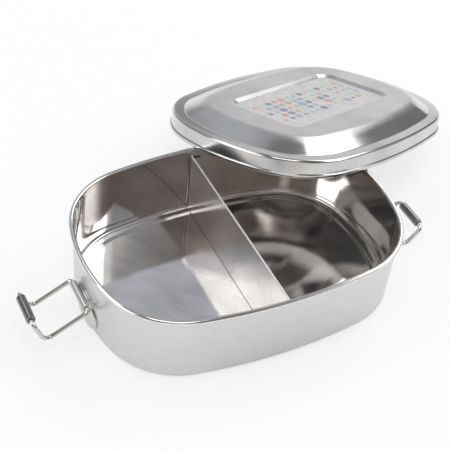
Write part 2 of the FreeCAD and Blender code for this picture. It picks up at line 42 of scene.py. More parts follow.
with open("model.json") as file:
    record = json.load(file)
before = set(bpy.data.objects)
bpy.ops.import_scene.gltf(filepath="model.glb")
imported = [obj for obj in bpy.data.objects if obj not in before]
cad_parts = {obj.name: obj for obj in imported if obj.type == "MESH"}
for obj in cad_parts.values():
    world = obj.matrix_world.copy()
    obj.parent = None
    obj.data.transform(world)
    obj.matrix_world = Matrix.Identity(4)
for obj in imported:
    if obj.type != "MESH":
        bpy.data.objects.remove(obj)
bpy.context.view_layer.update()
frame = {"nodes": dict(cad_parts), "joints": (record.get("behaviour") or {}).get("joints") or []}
MM = 0.001
JOINTS = {joint["name"]: Vector(joint["pos_m"]) for joint in frame["joints"] if "pos_m" in joint}

# Degrees of arc for each step along an outline, and round a finger tube
OUTLINE_STEP, TUBE_STEP = 1.5, 6.0
# Steps in each bend of a section, round a wire, round an oval plate and across a rounded cut edge
BEND_STEPS, WIRE_STEPS, OVAL_STEPS, EDGE_STEPS = 10, 24, 64, 3
# How often an oval plate's faces are divided, so that the plate can follow its wall
OVAL_CUTS = 2
# Points closer than this are one point
WELD = 0.002 * MM
# Cut edges turn more than this and are rounded
CUT_EDGE = math.radians(42)
# Faces that meet at more than this are shaded apart, so that a rounded edge leaves its plate flat
CREASE = math.radians(12)

# Print: the inks, the sides of each plain shape, the share of places that are printed, and the smallest and
# the largest shape beside a full one
INKS = ("Blue", "Teal", "Rust", "Mint", "Slate")
SHAPE_SIDES = (24, 3, 4, 6)
PRINTED_SHARE = 0.93
SMALLEST_SHAPE, LARGEST_SHAPE = 0.65, 0.95


def size(name, description, millimetres):
    """A size in the panel."""
    return FloatProperty(
        name=name, description=description, default=millimetres * MM, unit="LENGTH", precision=4)


def linear(code):
    """A hex colour as it is written on screen, as the linear colour that the shaders take."""
    channels = [int(code[start:start + 2], 16) / 255 for start in (1, 3, 5)]
    bent = [c / 12.92 if c <= 0.04045 else ((c + 0.055) / 1.055) ** 2.4 for c in channels]
    return (*bent, 1.0)


def colour(name, description, code):
    """A colour in the panel."""
    return FloatVectorProperty(
        name=name, description=description, default=linear(code), size=4, subtype="COLOR", min=0, max=1)


# Sizes and colours


class TraySizes(PropertyGroup):
    """The drawn tray, and the outline that the lid shares with it."""

    length: size("Length", "Rim, end to end", 180)
    width: size("Width", "Rim, front to back", 130)
    height: size("Height", "Foot to the top of the rim", 45)
    end_radius: size("End bow", "Radius of the ends at the rim's outer edge", 106)
    side_radius: size("Side bow", "Radius of the long sides at the rim's outer edge", 300)
    corner_radius: size("Corner", "Radius of the corners at the rim's outer edge", 46)
    steel: size("Sheet", "Sheet of the tray and the lid", 0.6)
    bead: size("Rolled rim", "Rim bead, across", 2.6)
    neck: size("Neck", "Straight wall under the rim bead", 1.5)
    tuck: size("Rim tuck", "Rolled edge past its last bend", 0.15)
    draft: size("Draft", "How far the wall leans in from rim to foot", 0.4)
    foot_bend: size("Foot bend", "Bend between wall and floor", 2.2)
    ring: size("Floor ring", "Flat ring between the wall and the step in the floor", 4.5)
    step: size("Floor step", "How far the ring lies above the floor", 0.8)
    run: size("Step width", "Width of the step in the floor", 1.6)
    press_bend: size("Press bend", "Small bends of the step", 1.0)
    lap: size("Flat margin", "Flat sheet carried past a pressed ring's last bend", 3.0)


class LidSizes(PropertyGroup):
    """The pressed lid."""

    clearance: size("Clearance", "Rim to the skirt, all round", 0.2)
    hem_width: size("Hem", "Rolled hem, across", 1.4)
    hem_height: size("Hem height", "Rolled hem, bottom to top", 2.4)
    hem_lip: size("Hem lip", "Bend that tucks the hem's edge in", 0.35)
    hem_tuck: size("Hem tuck", "Hem's edge past its last bend", 0.06)
    ledge_height: size("Ledge height", "Hem's bottom to the ledge", 10.6)
    ledge_bend: size("Ledge bend", "Bend between skirt and ledge", 1.3)
    ledge_width: size("Ledge", "Rim's outer edge to the slope's foot", 6.5)
    slope_width: size("Slope", "Slope's foot to the plateau's edge", 13.2)
    slope_foot_bend: size("Slope foot", "Hollow bend at the slope's foot", 3)
    slope_top_bend: size("Slope top", "Round bend at the plateau's edge", 5)
    height: size("Height", "Hem's bottom to the plateau", 17)
    panel_length: size("Panel length", "Sunk print panel, at its upper edge", 104)
    panel_width: size("Panel width", "Sunk print panel, at its upper edge", 55)
    panel_corner: size("Panel corner", "Corner of the sunk panel, at its upper edge", 10)
    panel_depth: size("Panel depth", "Plateau to the sunk panel's floor", 1.6)
    panel_run: size("Panel slope", "Width of the slope round the sunk panel's floor", 3)
    panel_bend: size("Panel bend", "Bends of the slope round the sunk panel", 1.4)


class DividerSizes(PropertyGroup):
    """The welded divider."""

    sheet: size("Sheet", "Sheet of the divider", 1.0)
    top: size("Top", "Table to the top edge", 41.3)
    foot: size("Foot", "Table to the lower edge", 1.7)
    seat: size("Seat", "Flange to the wall", 0.1)
    flange: size("Flange", "End flange, outside the bend", 6.5)
    bend: size("Bend", "Bend between plate and flange", 1.5)
    drop: size("Drop", "How much lower the flange ends than the plate", 2.5)
    relief: size("Relief", "Lower corners cut off", 1.6)
    floor_gap: size("Floor gap", "Lower edge to the floor, between the steps of the ring", 0.3)
    edge: size("Edge", "Rounding of the cut edges", 0.16)


class ClipSizes(PropertyGroup):
    """The wire clips and their brackets."""

    sheet: size("Bracket sheet", "Sheet of the bracket", 0.8)
    seat: size("Bracket seat", "Oval plate to the wall", 0.05)
    plate_width: size("Plate width", "Oval plate, front to back", 31)
    plate_height: size("Plate height", "Oval plate, lower edge to upper edge", 20)
    plate_foot: size("Plate foot", "Table to the oval plate's lower edge", 0.6)
    barrel_length: size("Barrel", "Rolled barrel, front to back", 19.6)
    barrel_root: size("Barrel root", "Straight stretch of the barrel's sheet, along the plate", 1.6)
    barrel_tuck: size("Barrel tuck", "Barrel's edge past the hinge line", 0.2)
    edge: size("Edge", "Rounding of the bracket's cut edges", 0.14)
    wire: size("Wire", "Clip wire, across", 2.5)
    play: size("Play", "Air round the wire in barrel and tube", 0.05)
    bail_width: size("Bail width", "Between the arms, middle to middle", 25.2)
    arm: size("Arm", "Hinge line to the elbow", 26.5)
    hook: size("Hook", "Elbow to the finger tube", 14.7)
    hook_return: size("Return", "How far the hook leans back over the arms", 1.3)
    barrel_bend: size("Barrel bend", "Bend of the wire beside the barrel", 2.2)
    elbow_bend: size("Elbow bend", "Bend of the wire at the elbow", 4)
    tube_bend: size("Tube bend", "Bend of the wire beside the finger tube", 3)
    end_gap: size("End gap", "Between the wire's ends inside the tube", 0.6)
    tube: size("Tube", "Finger tube, across", 5.1)
    tube_length: size("Tube length", "Finger tube, end to end", 17.4)
    tube_edge: size("Tube edge", "Rounding of the tube's ends", 0.4)


class PrintSizes(PropertyGroup):
    """The pale coat and the printed shapes on the lid's sunk panel."""

    coat: size("Coat", "Thickness of the pale coat", 0.02)
    coat_edge: size("Coat edge", "Foot of the panel's slope to the coat", 0.5)
    ink: size("Ink", "Thickness of the ink", 0.03)
    length: size("Print length", "Between the outermost shapes along the lid", 84)
    width: size("Print width", "Between the outermost shapes across the lid", 24)
    columns: IntProperty(name="Columns", description="Shapes along the lid", default=14, min=2)
    rows: IntProperty(name="Rows", description="Shapes across the lid", default=5, min=2)
    shape: size("Shape", "Full shape, across", 6.4)
    seed: IntProperty(
        name="Seed", description="Picks the shapes, their turns and their inks", default=7, min=0)
    blue: colour("Blue", "First ink", "#93A7BF")
    teal: colour("Teal", "Second ink", "#A3BCC2")
    rust: colour("Rust", "Third ink", "#C7A392")
    mint: colour("Mint", "Fourth ink", "#B3CBB9")
    slate: colour("Slate", "Fifth ink", "#868BA6")


class Finishes(PropertyGroup):
    """Colours of the steels and the stage."""

    satin: colour("Satin steel", "Brushed outside of the tray", "#D8D8D9")
    polished: colour("Polished steel", "Mirror inside of the tray", "#E3E0DE")
    plate: colour("Divider steel", "Brushed divider", "#C6C4C3")
    lid: colour("Lid steel", "Satin lid", "#D5D3D1")
    bracket: colour("Bracket steel", "Rubbed clip brackets", "#D8D6D4")
    wire: colour("Wire steel", "Polished wire bails", "#D2CFCC")
    # The tubes' tint is painted shade: darker than the wire's, for the dark room that the polished tubes
    # mirror
    tube: colour("Tube steel", "Polished finger tubes", "#8E8B88")
    ground: colour("Print ground", "Pale coat under the print", "#CDCAC8")
    floor: colour("Floor", "Studio floor", "#FFFFFF")


# Nodes


def fill(tree, node, inputs):
    """Fill a node's inputs with values or with other nodes' outputs."""
    for key, value in inputs.items():
        if isinstance(value, bpy.types.NodeSocket):
            tree.links.new(value, node.inputs[key])
        else:
            node.inputs[key].default_value = value


def add(tree, kind, inputs=None, **settings):
    """Add a node with its settings, and fill its inputs."""
    made = tree.nodes.new(kind)
    for name, value in settings.items():
        setattr(made, name, value)
    fill(tree, made, inputs or {})
    return made


def new_tree(name, sockets):
    """An empty geometry tree with named inputs, the last one its finish, and what its input node gives."""
    tree = bpy.data.node_groups.new(name, "GeometryNodeTree")
    for label, kind in {**sockets, "Finish": "Material"}.items():
        tree.interface.new_socket(label, in_out="INPUT", socket_type=f"NodeSocket{kind}")
    tree.interface.new_socket("Mesh", in_out="OUTPUT", socket_type="NodeSocketGeometry")
    return tree, add(tree, "NodeGroupInput").outputs


def close_tree(tree, given, mesh):
    """End a tree in real geometry with a finish."""
    real = add(tree, "GeometryNodeRealizeInstances", {"Geometry": mesh})
    done = add(tree, "GeometryNodeSetMaterial", {"Geometry": real.outputs[0], "Material": given["Finish"]})
    add(tree, "NodeGroupOutput", {"Mesh": done.outputs[0]})
    return tree


def level_line(tree, line):
    """A drawn line whose normals lie level."""
    flat = add(tree, "GeometryNodeObjectInfo", {"Object": line})
    level = add(tree, "GeometryNodeSetCurveNormal", {"Curve": flat.outputs["Geometry"]}, mode="Z_UP")
    return level.outputs[0]


def bent_line(tree, line, steps):
    """A drawn line with each corner bent to its own radius."""
    sharp = add(tree, "GeometryNodeObjectInfo", {"Object": line})
    bend = add(tree, "GeometryNodeInputRadius")
    rounded = add(tree, "GeometryNodeFilletCurve", {
        "Curve": sharp.outputs["Geometry"], "Count": steps, "Radius": bend.outputs[0]}, mode="POLY")
    return rounded.outputs[0]


def raised(tree, mesh, level):
    """A flat mesh lifted to its level."""
    height = add(tree, "ShaderNodeCombineXYZ", {"Z": level})
    lifted = add(tree, "GeometryNodeTransform", {"Geometry": mesh, "Translation": height.outputs[0]})
    return lifted.outputs[0]


def bent_sheet_tree():
    """A section with bends swept along a line. Each section corner's radius is its bend."""
    tree, given = new_tree("Bent sheet", {"Line": "Object", "Section": "Object", "Bend steps": "Int"})
    section = bent_line(tree, given["Section"], given["Bend steps"])
    # A sweep turns a section's second axis downwards
    upright = add(tree, "GeometryNodeTransform", {"Geometry": section, "Scale": (1, -1, 1)})
    swept = add(tree, "GeometryNodeCurveToMesh", {
        "Curve": level_line(tree, given["Line"]), "Profile Curve": upright.outputs[0]})
    return close_tree(tree, given, swept.outputs[0])


def flat_middle_tree():
    """A flat sheet inside a line, with a hole inside a second one. Each line moves in by its inset."""
    tree, given = new_tree("Flat middle", {
        "Line": "Object", "Inset": "Float", "Hole": "Object", "Hole inset": "Float", "Level": "Float"})
    both = add(tree, "GeometryNodeJoinGeometry")
    for edge, inset in (("Line", "Inset"), ("Hole", "Hole inset")):
        out = add(tree, "GeometryNodeInputNormal")
        inwards = add(tree, "ShaderNodeMath", {0: given[inset], 1: -1.0}, operation="MULTIPLY")
        shift = add(tree, "ShaderNodeVectorMath", {0: out.outputs[0], "Scale": inwards.outputs[0]},
                    operation="SCALE")
        moved = add(tree, "GeometryNodeSetPosition", {
            "Geometry": level_line(tree, given[edge]), "Offset": shift.outputs[0]})
        tree.links.new(moved.outputs[0], both.inputs[0])
    flat = add(tree, "GeometryNodeFillCurve", {"Curve": both.outputs[0]})
    return close_tree(tree, given, raised(tree, flat.outputs[0], given["Level"]))


def wire_tree():
    """A round wire along a line whose corners are bent to their radius."""
    tree, given = new_tree("Bent wire", {
        "Line": "Object", "Wire radius": "Float", "Bend steps": "Int", "Round steps": "Int"})
    bent_wire = bent_line(tree, given["Line"], given["Bend steps"])
    even = add(tree, "GeometryNodeSetCurveRadius", {"Curve": bent_wire, "Radius": 1.0})
    ring = add(tree, "GeometryNodeCurvePrimitiveCircle", {
        "Resolution": given["Round steps"], "Radius": given["Wire radius"]})
    swept = add(tree, "GeometryNodeCurveToMesh", {
        "Curve": even.outputs[0], "Profile Curve": ring.outputs[0], "Fill Caps": True})
    return close_tree(tree, given, swept.outputs[0])


def wall_plate_tree():
    """An oval plate that lies on a bowed and leaning wall."""
    tree, given = new_tree("Wall plate", {
        "Width": "Float", "Height": "Float", "Level": "Float", "Bow middle": "Float", "Bow": "Float",
        "Lean": "Float"})
    disc = add(tree, "GeometryNodeMeshCircle", {"Vertices": OVAL_STEPS, "Radius": 0.5},
               fill_type="TRIANGLE_FAN")
    fine = add(tree, "GeometryNodeSubdivideMesh", {"Mesh": disc.outputs[0], "Level": OVAL_CUTS})
    spot = add(tree, "GeometryNodeInputPosition")
    flat = add(tree, "ShaderNodeSeparateXYZ", {"Vector": spot.outputs[0]})
    across = add(tree, "ShaderNodeMath", {0: flat.outputs["X"], 1: given["Width"]}, operation="MULTIPLY")
    up = add(tree, "ShaderNodeMath", {0: flat.outputs["Y"], 1: given["Height"], 2: given["Level"]},
             operation="MULTIPLY_ADD")
    bow = add(tree, "ShaderNodeMath", {0: up.outputs[0], 1: given["Lean"], 2: given["Bow"]},
              operation="MULTIPLY_ADD")
    share = add(tree, "ShaderNodeMath", {0: across.outputs[0], 1: bow.outputs[0]}, operation="DIVIDE")
    turn = add(tree, "ShaderNodeMath", {0: share.outputs[0]}, operation="ARCSINE")
    ahead = add(tree, "ShaderNodeMath", {0: turn.outputs[0]}, operation="COSINE")
    out = add(tree, "ShaderNodeMath", {0: ahead.outputs[0], 1: bow.outputs[0], 2: given["Bow middle"]},
              operation="MULTIPLY_ADD")
    on_wall = add(tree, "ShaderNodeCombineXYZ", {
        "X": out.outputs[0], "Y": across.outputs[0], "Z": up.outputs[0]})
    laid = add(tree, "GeometryNodeSetPosition", {
        "Geometry": fine.outputs[0], "Position": on_wall.outputs[0]})
    return close_tree(tree, given, laid.outputs[0])


def print_tree():
    """Plain shapes in rows, each picked, turned, sized and inked by chance."""
    tree, given = new_tree("Printed shapes", {
        "Length": "Float", "Width": "Float", "Columns": "Int", "Rows": "Int", "Shape": "Float",
        "Level": "Float", "Seed": "Int", **{ink: "Color" for ink in INKS}})
    grid = add(tree, "GeometryNodeMeshGrid", {
        "Size X": given["Length"], "Size Y": given["Width"],
        "Vertices X": given["Columns"], "Vertices Y": given["Rows"]})
    shapes = add(tree, "GeometryNodeJoinGeometry")
    for sides in SHAPE_SIDES:
        shape = add(tree, "GeometryNodeMeshCircle", {"Vertices": sides, "Radius": 0.5}, fill_type="NGON")
        single = add(tree, "GeometryNodeGeometryToInstance", {"Geometry": shape.outputs[0]})
        tree.links.new(single.outputs[0], shapes.inputs[0])
    kept = add(tree, "FunctionNodeRandomValue", {"Probability": PRINTED_SHARE, "Seed": given["Seed"]},
               data_type="BOOLEAN")
    pick = add(tree, "FunctionNodeRandomValue", {
        "Min": 0, "Max": len(SHAPE_SIDES) - 1, "Seed": given["Seed"]}, data_type="INT")
    turn = add(tree, "FunctionNodeRandomValue", {"Max": (0, 0, 2 * math.pi), "Seed": given["Seed"]},
               data_type="FLOAT_VECTOR")
    share = add(tree, "FunctionNodeRandomValue", {
        "Min": SMALLEST_SHAPE, "Max": LARGEST_SHAPE, "Seed": given["Seed"]}, data_type="FLOAT")
    across = add(tree, "ShaderNodeMath", {0: share.outputs["Value"], 1: given["Shape"]},
                 operation="MULTIPLY")
    spread = add(tree, "GeometryNodeInstanceOnPoints", {
        "Points": raised(tree, grid.outputs["Mesh"], given["Level"]), "Selection": kept.outputs["Value"],
        "Instance": shapes.outputs[0], "Pick Instance": True, "Instance Index": pick.outputs["Value"],
        "Rotation": turn.outputs["Value"], "Scale": across.outputs[0]})
    number = add(tree, "FunctionNodeRandomValue", {
        "Min": 0, "Max": len(INKS) - 1, "Seed": given["Seed"]}, data_type="INT")
    chosen = add(tree, "GeometryNodeIndexSwitch", {"Index": number.outputs["Value"]}, data_type="RGBA")
    while len(chosen.index_switch_items) < len(INKS):
        chosen.index_switch_items.new()
    for place, ink in enumerate(INKS, start=1):
        tree.links.new(given[ink], chosen.inputs[place])
    inked = add(tree, "GeometryNodeStoreNamedAttribute", {
        "Geometry": spread.outputs[0], "Name": "ink", "Value": chosen.outputs[0]}, data_type="FLOAT_COLOR",
        domain="INSTANCE")
    return close_tree(tree, given, inked.outputs[0])


# Lines and meshes


def placed(name, data):
    """A new object in the scene."""
    made = bpy.data.objects.new(name, data)
    bpy.context.scene.collection.objects.link(made)
    return made


def drawn(name, corners, closed=False):
    """A line through corners: x, y, z and, where the corner is bent, its radius."""
    data = bpy.data.curves.new(name, "CURVE")
    data.dimensions = "3D"
    spline = data.splines.new("POLY")
    spline.points.add(len(corners) - 1)
    for point, (x, y, z, bend) in zip(spline.points, corners):
        point.co = (x, y, z, 1)
        point.radius = bend
    spline.use_cyclic_u = closed
    return placed(name, data)


def loop_line(name, points):
    """A closed flat line through points."""
    return drawn(name, [(x, y, 0, 1) for x, y in points], closed=True)


def section_line(name, path):
    """A sheet's section from the middle of the sheet: distance out, height and bend."""
    return drawn(name, [(out, height, 0, bend) for out, height, bend in path])


def heading(angle):
    """The flat direction at an angle from +X."""
    return Vector((math.cos(angle), math.sin(angle)))


def arc(middle, radius, first, last, step=OUTLINE_STEP):
    """Points along an arc, about a step of degrees apart, without its last one."""
    steps = max(1, round(math.degrees(abs(last - first)) / step))
    angles = [first + (last - first) * number / steps for number in range(steps)]
    return [middle + heading(angle) * radius for angle in angles]


def rim_line(tray):
    """The rim's outer edge: bowed ends and sides with tangent corners."""
    ends, sides, corners = tray.end_radius, tray.side_radius, tray.corner_radius
    end_middle = Vector((tray.length / 2 - ends, 0))
    side_middle = Vector((0, tray.width / 2 - sides))
    across = side_middle - end_middle
    along = ((ends - corners) ** 2 - (sides - corners) ** 2 + across.length_squared) / (2 * across.length)
    square = math.sqrt((ends - corners) ** 2 - along ** 2)
    across.normalize()
    corner = end_middle + across * along + Vector((-across.y, across.x)) * square
    end_turn = math.atan2(*reversed(corner - end_middle))
    side_turn = math.atan2(*reversed(corner - side_middle))
    quarter = arc(end_middle, ends, 0, end_turn)
    quarter += arc(corner, corners, end_turn, side_turn)
    quarter += arc(side_middle, sides, side_turn, math.pi / 2)
    half = quarter + [Vector((0, tray.width / 2))] + [Vector((-x, y)) for x, y in reversed(quarter)]
    return loop_line("rim_line", half[:-1] + [-point for point in half[:-1]])


def panel_line(lid):
    """The sunk panel's rounded rectangle."""
    corner = lid.panel_corner
    x, y = lid.panel_length / 2 - corner, lid.panel_width / 2 - corner
    loop = []
    for number, middle in enumerate(((x, y), (-x, y), (-x, -y), (x, -y))):
        first = number * math.pi / 2
        last = first + math.pi / 2
        loop += arc(Vector(middle), corner, first, last)
        loop.append(Vector(middle) + heading(last) * corner)
    return loop_line("panel_line", loop)


def wall_top(tray):
    """Table to the upper end of the tray's leaning wall."""
    return tray.height - tray.bead - tray.neck


def settled(piece):
    """Make what a piece's modifiers give its own plain mesh."""
    graph = bpy.context.evaluated_depsgraph_get()
    shown = piece.evaluated_get(graph)
    mesh = bpy.data.meshes.new_from_object(shown, preserve_all_data_layers=True, depsgraph=graph)
    piece.modifiers.clear()
    piece.data = mesh
    return piece


def grown(name, tree, values):
    """What a tree makes from some values, as a plain mesh."""
    piece = placed(name, bpy.data.meshes.new(name))
    modifier = piece.modifiers.new(tree.name, "NODES")
    modifier.node_group = tree
    for socket in tree.interface.items_tree:
        if socket.name in values:
            modifier[socket.identifier] = values[socket.name]
    return settled(piece)


def bent(name, tree, line, section, finish, steps=BEND_STEPS):
    """A sheet bent to a section along a line."""
    return grown(name, tree, {"Line": line, "Section": section, "Bend steps": steps, "Finish": finish})


def welded(name, parts, finishes, facing):
    """Join sheets into one, turned so that the face furthest along facing looks that way."""
    shape = bmesh.new()
    for part in parts:
        shape.from_mesh(part.data)
        bpy.data.objects.remove(part)
    bmesh.ops.remove_doubles(shape, verts=shape.verts, dist=WELD)
    bmesh.ops.recalc_face_normals(shape, faces=shape.faces)
    way = Vector(facing)
    furthest = max(shape.faces, key=lambda face: (
        face.calc_center_median().dot(way) + abs(face.normal.dot(way))))
    if furthest.normal.dot(way) < 0:
        bmesh.ops.reverse_faces(shape, faces=shape.faces)
    for face in shape.faces:
        face.smooth = True
        face.material_index = 0
    mesh = bpy.data.meshes.new(name)
    shape.to_mesh(mesh)
    shape.free()
    for finish in finishes:
        mesh.materials.append(finish)
    return placed(name, mesh)


def thickened(piece, sheet, edge=0.0):
    """Give a sheet its thickness, half to each side, and round its cut edges."""
    solid = piece.modifiers.new("Sheet", "SOLIDIFY")
    solid.thickness = sheet
    solid.offset = 0
    solid.use_even_offset = True
    solid.use_quality_normals = True
    if len(piece.data.materials) > 1:
        solid.material_offset = 1
        solid.material_offset_rim = 1
    if edge:
        soft = piece.modifiers.new("Cut edges", "BEVEL")
        soft.width = edge
        soft.segments = EDGE_STEPS
        soft.limit_method = "ANGLE"
        soft.angle_limit = CUT_EDGE
    settled(piece)
    piece.data.set_sharp_from_angle(angle=CREASE)
    return piece


def remembered(piece, name):
    """Keep where each point lies in the piece's own frame, for patterns that follow the piece."""
    own = piece.data.attributes.new(name, "FLOAT_VECTOR", "POINT")
    own.data.foreach_set("vector", [value for vertex in piece.data.vertices for value in vertex.co])


def handed_over(piece, body, slot, *nodes):
    """Let a finished piece ride on its body and stand for its solids."""
    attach(piece, body)
    if nodes:
        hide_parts(*nodes)


def removed(*lines):
    """Take away the lines that a piece was drawn from."""
    for line in lines:
        bpy.data.objects.remove(line)


def place_of(node):
    """A thin symmetric solid's own frame: X along its length, Z across it, origin at its lowest point."""
    mesh = frame["nodes"][node].data
    points = np.array([vertex.co for vertex in mesh.vertices])
    corners = points[[list(face.vertices)[:3] for face in mesh.polygons]]
    sides = np.cross(corners[:, 1] - corners[:, 0], corners[:, 2] - corners[:, 0])
    areas = np.linalg.norm(sides, axis=1) / 2
    middle = (corners.mean(axis=1) * areas[:, None]).sum(axis=0) / areas.sum()
    corners = corners - middle
    sums = corners.sum(axis=1)
    spread = np.einsum("f,fi,fj->ij", areas, sums, sums)
    spread += np.einsum("f,fki,fkj->ij", areas, corners, corners)
    # The spread is least across the solid and most along it
    across, _, along = np.linalg.eigh(spread)[1].T
    across = Vector(across) if across[2] > 0 else -Vector(across)
    along = Vector(along) if along[0] > 0 else -Vector(along)
    lowest = min((Vector(point) - Vector(middle)).dot(across) for point in points)
    turn = Matrix((along, across.cross(along), across)).transposed().to_4x4()
    return Matrix.Translation(Vector(middle) + across * lowest) @ turn


# Finishes

# Most of a noise texture's values lie between these
NOISE_SPAN = {"From Min": 0.3, "From Max": 0.7}
# How far fine lines darken and brighten a steel, how deep they are, and how far they change the roughness
# of a brushed one
LINE_TONES = (0.93, 1.07)
LINE_DEPTH = 0.02 * MM
ROUGH_SPREAD = 0.15
# The tray's inside: which way the floor is rubbed, and the heights between which the wall's finish begins
FLOOR_RUB = math.radians(-55)
WALL_HEIGHTS = {"From Min": 1.5 * MM, "From Max": 4 * MM}
# The divider's ground top edge: its painted highlight tone, and how far below the top it begins and is
# whole
GROUND_EDGE_HIGHLIGHT = "#F4F4F4"
GROUND_HIGHLIGHT_FROM, GROUND_HIGHLIGHT_WHOLE = 0.2 * MM, 0.1 * MM


def new_finish(name):
    """An empty material with its shader."""
    material = bpy.data.materials.new(name)
    material.use_nodes = True
    tree = material.node_tree
    return material, tree, tree.nodes["Principled BSDF"]


def streaks(tree, place, run, detail, turn=0.0):
    """Noise drawn out to its run along each axis, in millimetres, and turned on the flat."""
    stretch = add(tree, "ShaderNodeMapping", {
        "Vector": place, "Rotation": (0, 0, turn), "Scale": [reach * MM for reach in run]},
        vector_type="TEXTURE")
    noise = add(tree, "ShaderNodeTexNoise", {"Vector": stretch.outputs[0], "Scale": 1.0, "Detail": detail})
    return noise.outputs[0]


def shaded(tree, tint, noise, darkest, brightest):
    """A tint that noise darkens and brightens."""
    tone = add(tree, "ShaderNodeMapRange", {
        "Value": noise, **NOISE_SPAN, "To Min": darkest, "To Max": brightest})
    shade = add(tree, "ShaderNodeMix", {"Factor": 1.0, "A": tint, "B": tone.outputs[0]}, data_type="RGBA",
                blend_type="MULTIPLY")
    return shade.outputs["Result"]


def brushed_steel(name, tint, rough, grain, run, relief):
    """Stainless sheet rubbed with a belt: fine parallel lines in its tone, its gloss and its surface."""
    material, tree, shader = new_finish(name)
    place = add(tree, "ShaderNodeTexCoord").outputs["Object"]
    lines = streaks(tree, place, run, detail=3.0)
    dull = add(tree, "ShaderNodeMapRange", {
        "Value": lines, **NOISE_SPAN,
        "To Min": rough * (1 - ROUGH_SPREAD), "To Max": rough * (1 + ROUGH_SPREAD)})
    rub = add(tree, "ShaderNodeBump", {"Height": lines, "Strength": relief, "Distance": LINE_DEPTH})
    fill(tree, shader, {
        "Metallic": 1.0, "Base Color": shaded(tree, tint, lines, 1 - grain, 1 + grain),
        "Roughness": dull.outputs[0], "Normal": rub.outputs[0]})
    return material


def polished_steel(name, tint):
    """Drawn sheet polished inside: close to a mirror down the walls. Lines rubbed across the floor and
    slow waves in it break up what it mirrors, and fine scuffs lay a weak, wide gleam over it."""
    floor_rough, wall_rough = 0.06, 0.04
    floor_waves, wall_waves = 1.0, 0.4
    wave, wave_height = 24 * MM, 0.08 * MM
    material, tree, shader = new_finish(name)
    place = add(tree, "ShaderNodeTexCoord").outputs["Object"]
    height = add(tree, "ShaderNodeSeparateXYZ", {"Vector": place})
    wall = add(tree, "ShaderNodeMapRange", {"Value": height.outputs["Z"], **WALL_HEIGHTS}).outputs[0]
    wall_lines = streaks(tree, place, run=(0.8, 0.8, 30), detail=2.0)
    floor_lines = streaks(tree, place, run=(24, 0.5, 24), detail=3.0, turn=FLOOR_RUB)
    lines = add(tree, "ShaderNodeMix", {"Factor": wall, "A": floor_lines, "B": wall_lines},
                data_type="FLOAT")
    clouds = streaks(tree, place, run=(34, 15, 34), detail=1.0, turn=FLOOR_RUB)
    patches = add(tree, "ShaderNodeMapRange", {"Value": clouds, **NOISE_SPAN, "To Min": 0.8, "To Max": 1.1})
    worn = add(tree, "ShaderNodeMix", {"Factor": wall, "A": patches.outputs[0], "B": 1.0},
               data_type="FLOAT")
    shade = add(tree, "ShaderNodeMix", {
        "Factor": 1.0, "A": shaded(tree, tint, lines.outputs[0], *LINE_TONES), "B": worn.outputs[0]},
        data_type="RGBA", blend_type="MULTIPLY")
    dull = add(tree, "ShaderNodeMapRange", {"Value": wall, "To Min": floor_rough, "To Max": wall_rough})
    rub = add(tree, "ShaderNodeBump", {
        "Height": lines.outputs[0], "Strength": 0.5, "Distance": LINE_DEPTH})
    swell = add(tree, "ShaderNodeTexNoise", {"Vector": place, "Scale": 1 / wave, "Detail": 1.0})
    calm = add(tree, "ShaderNodeMapRange", {"Value": wall, "To Min": floor_waves, "To Max": wall_waves})
    waves = add(tree, "ShaderNodeBump", {
        "Height": swell.outputs[0], "Strength": calm.outputs[0], "Distance": wave_height,
        "Normal": rub.outputs[0]})
    fill(tree, shader, {
        "Metallic": 1.0, "Base Color": shade.outputs["Result"], "Roughness": dull.outputs[0],
        "Normal": waves.outputs[0], "Coat Weight": 1.0, "Coat Roughness": 0.5})
    return material


def brushed_plate(name, tint, top):
    """Plate brushed upright: reflections smear sideways and keep crisp edges up and down the plate. Its top
    edge is ground matt, and its tint there is raised to near white as a painted highlight."""
    plate_rough, edge_rough = 0.17, 0.6
    material, tree, shader = new_finish(name)
    place = add(tree, "ShaderNodeTexCoord").outputs["Object"]
    lines = streaks(tree, place, run=(0.6, 0.6, 16), detail=3.0)
    shade = shaded(tree, tint, lines, *LINE_TONES)
    height = add(tree, "ShaderNodeSeparateXYZ", {"Vector": place})
    edge = add(tree, "ShaderNodeMapRange", {
        "Value": height.outputs["Z"], "From Min": top - GROUND_HIGHLIGHT_FROM, "From Max": top - GROUND_HIGHLIGHT_WHOLE})
    # Painted highlight: the top edge's tint turns near white over the brushed tint; only its matt roughness
    # is real
    ground = add(tree, "ShaderNodeMix", {
        "Factor": edge.outputs[0], "A": shade, "B": linear(GROUND_EDGE_HIGHLIGHT)}, data_type="RGBA")
    dull = add(tree, "ShaderNodeMapRange", {
        "Value": edge.outputs[0], "To Min": plate_rough, "To Max": edge_rough})
    sideways = add(tree, "ShaderNodeTangent", direction_type="UV_MAP", uv_map="brushed")
    fill(tree, shader, {
        "Metallic": 1.0, "Base Color": ground.outputs["Result"], "Roughness": dull.outputs[0],
        "Anisotropic": 0.9, "Tangent": sideways.outputs[0]})
    return material


